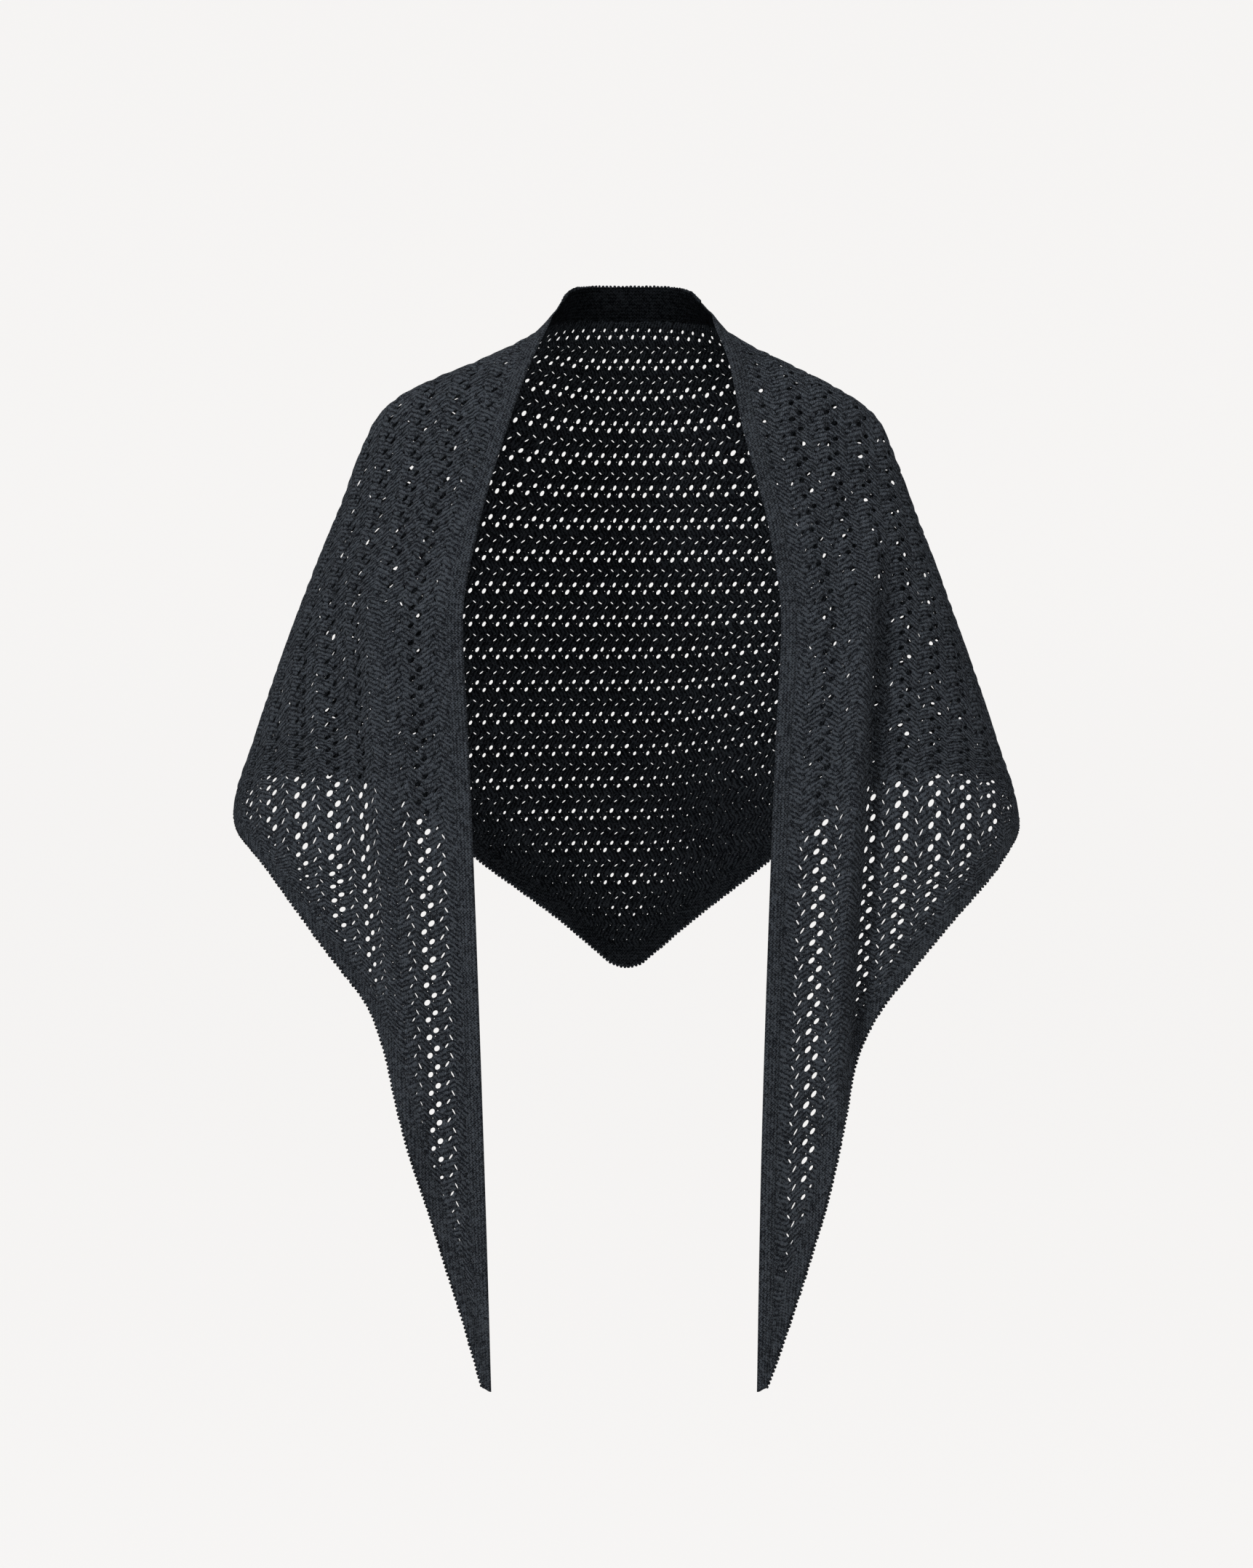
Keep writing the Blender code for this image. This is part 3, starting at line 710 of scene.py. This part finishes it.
def slants():
    """The share of a distance along each column that lies square to the short edge."""
    edge = all_points[:, -1]
    along = np.gradient(edge, axis=0)
    down = all_points[:, -1] - all_points[:, -4]
    along /= np.linalg.norm(along, axis=1, keepdims=True)
    down /= np.linalg.norm(down, axis=1, keepdims=True)
    return np.maximum(np.linalg.norm(np.cross(along, down), axis=1), 0.3)


all_slants = slants()


def openness(points, columns, distance):
    """How far the holes are open at points of the cloth, from 0 to 1."""
    depth = np.interp(columns, all_columns, depths)[:, None]
    square = np.interp(columns, all_columns, all_slants)[:, None]
    band = band_width(columns)[:, None]
    from_edge = (depth - distance) * square
    side, x, z = np.abs(columns)[:, None], np.abs(points[..., 0]), points[..., 2]
    on_back = 1 - smooth_step(12, 20, side)
    begun = smooth_step(0.011, 0.027, from_edge) * 0.82 + 0.18
    fading = smooth_step(0.014, 0.064, from_edge) * 0.86 + 0.14
    fading = fading * (0.86 - 0.13 * smooth_step(0.10, 0.35, -z))
    share = begun + (fading - begun) * on_back
    spot = np.hypot(points[..., 0] - SNUG["x"], z - SNUG["z"]) / SNUG["reach"]
    share = share * (1 - SNUG["shut"] * np.exp(-spot ** 2) * on_back)
    share = share * smooth_step(band - 0.005, band + 0.013, distance)
    for i in MAIN_RIDGES:
        line = fold_line(i, z)
        mine = np.sign(points[..., 0]) == FOLDS["side"][i]
        front = points[..., 1] < 0
        fade = smooth_step(0, 0.05, FOLDS["top"][i] - z) * smooth_step(0, 0.04, z
                                                                       - FOLDS["bottom"][i])
        pressed = np.exp(-((x - line) / 0.0075) ** 4) * fade
        share = share * (1 - 0.92 * pressed * mine * front)
    return share


def evened(points, columns, distance):
    """Column and row of lace, evened out where the worn form crowds the back."""
    x, y, z = np.abs(points[..., 0]), points[..., 1], points[..., 2]
    behind = smooth_step(0, 0.03, y)
    lower = behind * smooth_step(0.045, 0.085, -z) * (1 - smooth_step(0.165, 0.205, x))
    upper = behind * smooth_step(0.015, 0.035, -z) * (1 - smooth_step(0.10, 0.13, x))
    column, row = columns[:, None] + 0 * x, row_at(columns[:, None], distance)
    middle, along, _ = paths[RIGHT]
    row_at_middle = np.interp(-z, -middle[0, :, 2], row_at(0, along[0]))
    rise = np.where(points[..., 0] < 0, follow(EVEN_RISE, "left", "z", z),
                    follow(EVEN_RISE, "right", "z", z))
    column += (points[..., 0] / EVEN_PITCH - column) * lower * smooth_step(0.085, 0.105, x)
    row += (row_at_middle + rise * (x / 0.1) ** 2 - row) * np.maximum(lower, upper)
    return column, row


def drape(name, first, last):
    """The surface that one panel of lace hangs on."""
    points, normals, columns, distance = cloth_grid(
        first, last, lambda c: np.maximum(band_limit(c) - UNDER, 0),
        lambda c: edging_limit(c) + UNDER, 116)
    column, row = evened(points, columns, distance)
    u = (column - PHASE - MAP[0][0]) / MAP[0][1]
    v = (row - MAP[1][0]) / MAP[1][1]
    thing = grid_mesh(name, points, u, v)
    depth_in = np.minimum(distance - band_limit(columns)[:, None],
                          edging_limit(columns)[:, None] - distance)
    swell = 0.4 + 0.6 * smooth_step(-0.002, 0.006, depth_in)
    for key, values in (("open", openness(points, columns, distance)), ("swell", swell)):
        layer = thing.data.attributes.new(key, "FLOAT", "POINT")
        layer.data.foreach_set("value", values.astype(np.float32).ravel())
    layer = thing.data.attributes.new("out", "FLOAT_VECTOR", "POINT")
    layer.data.foreach_set("vector", normals.astype(np.float32).ravel())
    rows = ((v.min() * MAP[1][1] + MAP[1][0]), (v.max() * MAP[1][1] + MAP[1][0]))
    return thing, rows


def cell_points(name, first, last, rows):
    """One point for each repeat of the lace."""
    spots = [(i, k, 0) for i in range(first, last + 1)
             for k in range(math.floor(rows[0]) - 1, math.ceil(rows[1]) + 1)]
    mesh = bpy.data.meshes.new(name)
    mesh.from_pydata(spots, [], [])
    thing = bpy.data.objects.new(name, mesh)
    bpy.context.scene.collection.objects.link(thing)
    return thing


# %% [markdown]
# Now the lace itself. Geometry Nodes put one repeat on every point, join them, draw each
# hole in towards its middle by its own amount, and read from the drape's map where every
# point hangs. What falls outside the drape is deleted. A little noise keeps any two
# repeats from being alike, as in handwork.

# %% Laying out the lace
def lace_tree():
    tree = bpy.data.node_groups.new("lay_out_lace", "GeometryNodeTree")
    sockets = {}
    for name, kind, value in (("Points", "NodeSocketGeometry", None),
                              ("Repeat", "NodeSocketObject", None),
                              ("Drape", "NodeSocketObject", None),
                              ("Hole size", "NodeSocketFloat", 1.0),
                              ("Unevenness", "NodeSocketFloat", 0.25),
                              ("Wander", "NodeSocketFloat", 0.05),
                              ("Outside", "NodeSocketMaterial", None),
                              ("Inside", "NodeSocketMaterial", None)):
        socket = tree.interface.new_socket(name, in_out="INPUT", socket_type=kind)
        if value is not None:
            socket.default_value = value
        sockets[name] = socket.identifier
    tree.interface.new_socket("Lace", in_out="OUTPUT", socket_type="NodeSocketGeometry")
    graph = Graph(tree)
    given = {socket.name: Value(graph, socket)
             for socket in tree.nodes.new("NodeGroupInput").outputs}
    info = ("GeometryNodeObjectInfo", {"transform_space": "ORIGINAL"})
    repeat = graph.node(*info, given["Repeat"], out=4)
    surface = graph.node(*info, given["Drape"], out=4)
    lace = graph.node("GeometryNodeInstanceOnPoints", {}, given["Points"], Instance=repeat)
    lace = graph.node("GeometryNodeRealizeInstances", {}, lace)
    lace = graph.node("GeometryNodeMergeByDistance", {}, lace, Distance=0.004)

    def attribute(name, kind):
        return graph.node("GeometryNodeInputNamedAttribute", {"data_type": kind}, name)

    def on_map(place):
        x, y, _ = graph.split(place)
        return graph.vector((x - MAP[0][0]) / MAP[0][1], (y - MAP[1][0]) / MAP[1][1], 0.0)

    def hung(value, kind, place, out=0):
        return graph.node("GeometryNodeSampleUVSurface", {"data_type": kind}, surface, value,
                          attribute("UVMap", "FLOAT_VECTOR"), on_map(place), out=out)

    here = graph.node("GeometryNodeInputPosition", {})
    pull = attribute("pull", "FLOAT_VECTOR")
    x, y, _ = graph.split(graph.vectors("ADD", here, pull))
    centre = graph.vector(x, y, 0.0)
    uneven = graph.node("ShaderNodeTexNoise", {}, centre, Scale=1.9, Detail=1.0)
    size = hung(attribute("open", "FLOAT"), "FLOAT", centre) * given["Hole size"]
    size = size * (1 + (uneven - 0.5) * 2 * given["Unevenness"])
    shut = (1 - size).math("MINIMUM", 0.93)
    drawn = graph.vectors("SCALE", pull, Scale=shut)
    noise = graph.node("ShaderNodeTexNoise", {}, centre, Scale=0.8, Detail=2.0, out=1)
    wander = graph.vectors("SUBTRACT", noise, (0.5, 0.5, 0.5))
    wander = graph.vectors("MULTIPLY", wander, (1.0, 0.5, 0.0))
    wander = graph.vectors("SCALE", wander, Scale=given["Wander"])
    lace = graph.node("GeometryNodeSetPosition", {}, lace,
                      Offset=graph.vectors("ADD", drawn, wander))
    store = {"data_type": "FLOAT2", "domain": "CORNER"}
    lace = graph.node("GeometryNodeStoreNamedAttribute", store, lace, Name="UVMap", Value=here)
    valid = hung(here, "FLOAT_VECTOR", here, out=1)
    outside = graph.node("FunctionNodeBooleanMath", {"operation": "NOT"}, valid)
    lace = graph.node("GeometryNodeDeleteGeometry", {"domain": "POINT"}, lace, outside)
    point = hung(here, "FLOAT_VECTOR", here)
    normal = hung(attribute("out", "FLOAT_VECTOR"), "FLOAT_VECTOR", here)
    swell = hung(attribute("swell", "FLOAT"), "FLOAT", here)
    _, _, height = graph.split(here)
    rise = graph.vectors("SCALE", normal, Scale=height * swell * 0.001)
    lace = graph.node("GeometryNodeSetPosition", {}, lace,
                      Position=graph.vectors("ADD", point, rise))
    lace = graph.node("GeometryNodeSetShadeSmooth", {}, lace)
    lace = graph.node("GeometryNodeRealizeInstances", {}, lace)
    lace = graph.node("GeometryNodeSetMaterial", {}, lace, Material=given["Outside"])
    lace = graph.node("GeometryNodeSetMaterial", {}, lace, attribute("inner", "BOOLEAN"),
                      given["Inside"])
    graph.put(lace, tree.nodes.new("NodeGroupOutput").inputs[0])
    return tree, sockets


def settled(thing, name):
    """The plain mesh that an object's modifiers make, as a new object."""
    evaluated = thing.evaluated_get(bpy.context.evaluated_depsgraph_get())
    mesh = bpy.data.meshes.new_from_object(evaluated)
    mesh.name = name
    piece = bpy.data.objects.new(name, mesh)
    bpy.context.scene.collection.objects.link(piece)
    return piece


def cleared(*things):
    for thing in things:
        mesh = thing.data
        bpy.data.objects.remove(thing)
        bpy.data.meshes.remove(mesh)


def make_lace(name, columns, reach):
    """One panel of lace over whole columns, on a drape that reaches a little further."""
    surface, rows = drape(name + "_drape", *reach)
    points = cell_points(name + "_points", *columns, rows)
    modifier = points.modifiers.new("lace", "NODES")
    modifier.node_group = LACE_TREE
    # The inside faces take wool painted darker, as painted shade.
    for key, value in (("Repeat", cell), ("Drape", surface), ("Hole size", 1.0),
                       ("Unevenness", 0.25), ("Wander", 0.05), ("Outside", LACE_OUT),
                       ("Inside", LACE_IN_PAINTED_SHADE)):
        modifier[LACE_SOCKETS[key]] = value
    piece = settled(points, name)
    points.modifiers.remove(modifier)
    cleared(points, surface)
    for key in ("pull", "inner", "open", "swell", "out"):
        if key in piece.data.attributes:
            piece.data.attributes.remove(piece.data.attributes[key])
    print(name, len(piece.data.polygons), "faces")
    return piece


LACE_TREE, LACE_SOCKETS = lace_tree()
SEAM = 15  # the back's last whole column each side
lace = {
    "back": make_lace("shawl_lace_back", (-SEAM, SEAM), (-17.5, 17.5)),
    "left": make_lace("shawl_lace_left", (-71, -SEAM - 1), (-LACE_END[LEFT] - 0.4, -14.0)),
    "right": make_lace("shawl_lace_right", (SEAM + 1, 71), (14.0, LACE_END[RIGHT] + 0.4)),
}

# %% [markdown]
# The plain knit round the lace is thicker and rounds over at its edges, so each band and
# edging is a closed strip with a full edge. It laps over the ragged border of the lace by
# a few millimetres, which hides the join as the close stitches of the real one do.

# %% Bands and edgings
STRIP_HALF = 0.00135
STITCH_MAP = (CELL[0], ROW)


def strip(name, first, last, near, far, rows, lace_last):
    """A closed, rounded strip of cloth between two distances from the long edge."""
    points, normals, columns, distance = cloth_grid(first, last, near, far, rows)
    share = np.linspace(0, 1, rows + 1) if lace_last else np.linspace(1, 0, rows + 1)
    full = np.clip(share / 0.12, 0, 1)
    taper = 1 - smooth_step(0.55, 1.0, share)
    profile = STRIP_HALF * (1 - (1 - full) ** 2) ** 0.5 * taper
    rise = normals * profile[None, :, None]
    outer, inner = points + rise, points - rise * 0.9
    ring = np.concatenate([outer, inner[:, -2:0:-1]], axis=1)
    count, around = ring.shape[:2]
    side = np.cumsum(np.linalg.norm(np.diff(points[:, 0], axis=0, prepend=points[:1, 0]),
                                    axis=1))
    v = np.concatenate([distance, distance[:, -2:0:-1]], axis=1)
    index = np.arange(count * around).reshape(count, around)
    nxt = np.roll(index, -1, axis=1)
    quads = np.stack([index[:-1], index[1:], nxt[1:], nxt[:-1]], axis=-1).reshape(-1, 4)
    faces = quads.tolist() + [index[0].tolist(), index[-1][::-1].tolist()]
    mesh = bpy.data.meshes.new(name)
    mesh.from_pydata(ring.reshape(-1, 3).tolist(), [], faces)
    layer = mesh.uv_layers.new(name="UVMap")
    corners = np.empty(len(mesh.loops), np.int32)
    mesh.loops.foreach_get("vertex_index", corners)
    u = np.repeat(side[:, None], around, axis=1) / STITCH_MAP[0]
    flat = np.stack([u.ravel(), v.ravel() / STITCH_MAP[1]], axis=-1)[corners]
    layer.data.foreach_set("uv", flat.astype(np.float32).ravel())
    # Slot 1, for the inside faces, is wool painted darker: painted shade.
    mesh.materials.append(PLAIN_OUT)
    mesh.materials.append(PLAIN_IN_PAINTED_SHADE)
    inside = np.tile(np.arange(around) > rows, count - 1)
    inside = np.concatenate([inside, [False, False]])
    mesh.polygons.foreach_set("material_index", inside.astype(np.int32))
    mesh.polygons.foreach_set("use_smooth", np.ones(len(mesh.polygons), bool))
    piece = bpy.data.objects.new(name, mesh)
    bpy.context.scene.collection.objects.link(piece)
    return piece


def make_band(name, first, last):
    return strip(name, first, last, lambda c: 0 * c, lambda c: band_limit(c) + COVER, 12,
                 True)


def make_edging(name, first, last):
    piece = strip(name, first, last, lambda c: edging_limit(c) - COVER,
                  lambda c: np.interp(c, all_columns, depths), 12, False)
    # Its inside faces are wool painted darker than outside: painted shade.
    piece.data.materials[1] = EDGING_IN_PAINTED_SHADE
    return piece


strips = {
    "band_neck": make_band("shawl_band_neck", -15.5, 15.5),
    "band_left": make_band("shawl_band_left", -TIP_COLUMN, -15.5),
    "band_right": make_band("shawl_band_right", 15.5, TIP_COLUMN),
    "edging_left": make_edging("shawl_edging_left", -TIP_COLUMN, 0),
    "edging_right": make_edging("shawl_edging_right", 0, TIP_COLUMN),
}
print({name: len(piece.data.polygons) for name, piece in strips.items()})

# %% [markdown]
# The knitted edge is not a clean line. Each stitch of the cast-on edge is a small lump,
# so a row of lumps, one to a stitch and each turned its own way, is joined to the strips
# along the nape and along both short edges.

# %% Stitches along the open edges
EDGE_STITCH, LUMP = 0.0034, 0.0016  # metres from stitch to stitch, and a lump's half size


def stitch_spots(name, first, last, end):
    """One point for each stitch along an edge of the cloth: end 0 is the long one."""
    line = all_points[(all_columns >= first) & (all_columns <= last), end]
    run = np.concatenate([[0], np.cumsum(np.linalg.norm(np.diff(line, axis=0), axis=1))])
    at = np.arange(EDGE_STITCH / 2, run[-1], EDGE_STITCH)
    spots = np.stack([np.interp(at, run, line[:, k]) for k in range(3)], axis=-1)
    mesh = bpy.data.meshes.new(name)
    mesh.from_pydata(spots.tolist(), [], [])
    thing = bpy.data.objects.new(name, mesh)
    bpy.context.scene.collection.objects.link(thing)
    return thing


def edge_tree():
    tree = bpy.data.node_groups.new("edge_stitches", "GeometryNodeTree")
    sockets = {}
    for name, kind in (("Spots", "NodeSocketGeometry"), ("Lump", "NodeSocketObject"),
                       ("Strip", "NodeSocketObject"), ("Wool", "NodeSocketMaterial")):
        sockets[name] = tree.interface.new_socket(name, in_out="INPUT",
                                                  socket_type=kind).identifier
    tree.interface.new_socket("Edged", in_out="OUTPUT", socket_type="NodeSocketGeometry")
    graph = Graph(tree)
    given = {socket.name: Value(graph, socket)
             for socket in tree.nodes.new("NodeGroupInput").outputs}
    info = ("GeometryNodeObjectInfo", {"transform_space": "ORIGINAL"})
    lump = graph.node(*info, given["Lump"], out=4)
    strip_itself = graph.node(*info, given["Strip"], out=4)
    chance = ("FunctionNodeRandomValue", {"data_type": "FLOAT_VECTOR"})
    turn = graph.node(*chance, (0.0, 0.0, 0.0), (6.28, 6.28, 6.28), Seed=3)
    size = graph.node(*chance, (0.75, 0.75, 0.75), (1.2, 1.2, 1.2), Seed=8)
    lumps = graph.node("GeometryNodeInstanceOnPoints", {}, given["Spots"], Instance=lump,
                       Rotation=turn, Scale=size)
    lumps = graph.node("GeometryNodeRealizeInstances", {}, lumps)
    lumps = graph.node("GeometryNodeSetMaterial", {}, lumps, Material=given["Wool"])
    join = tree.nodes.new("GeometryNodeJoinGeometry")
    graph.put(lumps, join.inputs[0])
    graph.put(strip_itself, join.inputs[0])
    graph.put(Value(graph, join.outputs[0]), tree.nodes.new("NodeGroupOutput").inputs[0])
    return tree, sockets


def with_stitches(piece, spots):
    """The strip and its row of lumps as one piece."""
    name = piece.name
    modifier = spots.modifiers.new("stitches", "NODES")
    modifier.node_group = EDGE_TREE
    # The lumps take wool painted darker: painted shade along the edge.
    for key, value in (("Lump", lump_shape), ("Strip", piece), ("Wool", EDGE_PAINTED_SHADE)):
        modifier[EDGE_SOCKETS[key]] = value
    made = settled(spots, name)
    spots.modifiers.remove(modifier)
    cleared(spots, piece)
    made.name = made.data.name = name
    return made


EDGE_TREE, EDGE_SOCKETS = edge_tree()
bpy.ops.mesh.primitive_ico_sphere_add(subdivisions=1, radius=LUMP)
lump_shape = bpy.context.object
lump_shape.data.polygons.foreach_set("use_smooth", [True] * len(lump_shape.data.polygons))
for key, reach in (("band_neck", (-9, 9, 0)), ("edging_left", (-TIP_COLUMN, 0, -1)),
                   ("edging_right", (0, TIP_COLUMN, -1))):
    strips[key] = with_stitches(strips[key], stitch_spots(key + "_spots", *reach))
cleared(lump_shape)
print({name: len(piece.data.polygons) for name, piece in strips.items()})

# %% [markdown]
# Each piece now takes over from its CAD node and rides on the one body. The size each
# stretch of cloth was knitted to is measured on the drape before it is bent, and printed.

# %% Handing the pieces to the frame
def flat_size(first, last, near, far):
    """Width, length and area of a stretch of the cloth laid flat."""
    points, _, columns, distance = cloth_grid(first, last, near, far, 60)
    a, b = points[1:, :-1] - points[:-1, :-1], points[:-1, 1:] - points[:-1, :-1]
    area = np.linalg.norm(np.cross(a, b), axis=-1).sum()
    length = np.linalg.norm(np.diff(points, axis=0), axis=-1).sum(axis=0).max()
    width = np.linalg.norm(np.diff(points, axis=1), axis=-1).sum(axis=1).max()
    return (round(float(length), 3), round(float(width), 3)), round(float(area), 5)


cuts = {
    "lace_back": (-15.5, 15.5, band_limit, edging_limit),
    "lace_left": (-LACE_END[LEFT], -15.5, band_limit, edging_limit),
    "lace_right": (15.5, LACE_END[RIGHT], band_limit, edging_limit),
    "band_neck": (-15.5, 15.5, lambda c: 0 * c, band_limit),
    "band_left": (-TIP_COLUMN, -15.5, lambda c: 0 * c, band_limit),
    "band_right": (15.5, TIP_COLUMN, lambda c: 0 * c, band_limit),
    "edging_left": (-TIP_COLUMN, 0, edging_limit, lambda c: np.interp(c, all_columns, depths)),
    "edging_right": (0, TIP_COLUMN, edging_limit, lambda c: np.interp(c, all_columns, depths)),
}
pieces = {"lace_" + key: piece for key, piece in lace.items()} | strips
for node, piece in pieces.items():
    flat, area = flat_size(*cuts[node])
    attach(piece, "root")
    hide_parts(node)
    node.split("_")[0]
    print(node, flat, area)
cleared(cell)

# %% [markdown]
# The photograph is a plain product shot: a pale backdrop that runs down into the floor,
# and soft light from high on the left. The camera looks level at the middle of the shawl
# from three metres away.

# %% Floor, light and camera
PALE = (0.935, 0.922, 0.912)
CAMERA_AT = (0.0, -3.0, -0.368)
LENS = 82.66


def sweep():
    """A floor that curves up into a wall behind, wide enough for any view."""
    turn = np.linspace(0, math.pi / 2, 13)
    profile = [(-9.0, -1.3), *zip(5.0 + 1.6 * np.sin(turn), -1.3 + 1.6 * (1 - np.cos(turn))),
               (6.6, 7.0)]
    points = [(x, y, z) for y, z in profile for x in (-10.0, 10.0)]
    faces = [(2 * i, 2 * i + 1, 2 * i + 3, 2 * i + 2) for i in range(len(profile) - 1)]
    mesh = bpy.data.meshes.new("sweep")
    mesh.from_pydata(points, [], faces)
    mesh.polygons.foreach_set("use_smooth", [True] * len(faces))
    material = bpy.data.materials.new("pale_sweep")
    material.use_nodes = True
    shader = material.node_tree.nodes["Principled BSDF"]
    shader.inputs["Base Color"].default_value = (0.10, 0.10, 0.10, 1)
    shader.inputs["Roughness"].default_value = 1.0
    shader.inputs["Specular IOR Level"].default_value = 0.0
    shader.inputs["Emission Color"].default_value = (*PALE, 1)
    shader.inputs["Emission Strength"].default_value = 0.92
    mesh.materials.append(material)
    backdrop = bpy.data.objects.new("sweep", mesh)
    bpy.context.scene.collection.objects.link(backdrop)


def soft_light(name, at, size, power):
    lamp = bpy.data.lights.new(name, "AREA")
    lamp.shape, lamp.size, lamp.energy = "DISK", size, power
    light = bpy.data.objects.new(name, lamp)
    light.location = at
    aim = Vector((0, 0, -0.35)) - Vector(at)
    light.rotation_euler = aim.to_track_quat("-Z", "Y").to_euler()
    bpy.context.scene.collection.objects.link(light)


sweep()
soft_light("key_light", (-1.4, -1.8, 2.8), 1.2, 98)
soft_light("fill_light", (2.4, -2.6, 0.9), 2.0, 14)
scene = bpy.context.scene
world = bpy.data.worlds.new("pale_room")
world.use_nodes = True
backdrop = Graph(world.node_tree)
room = world.node_tree.nodes["Background"]
seen = backdrop.node("ShaderNodeLightPath", {})
backdrop.put((*PALE, 1), room.inputs["Color"])
backdrop.put(seen * 0.70 + 0.27, room.inputs["Strength"])
scene.world = world
lens = bpy.data.cameras.new("camera")
lens.lens, lens.sensor_width, lens.clip_end = LENS, 36, 40
camera = bpy.data.objects.new("camera", lens)
camera.location, camera.rotation_euler = CAMERA_AT, (math.pi / 2, 0, 0)
scene.collection.objects.link(camera)
scene.camera = camera
scene.view_settings.view_transform = "Standard"
print("camera at", CAMERA_AT)
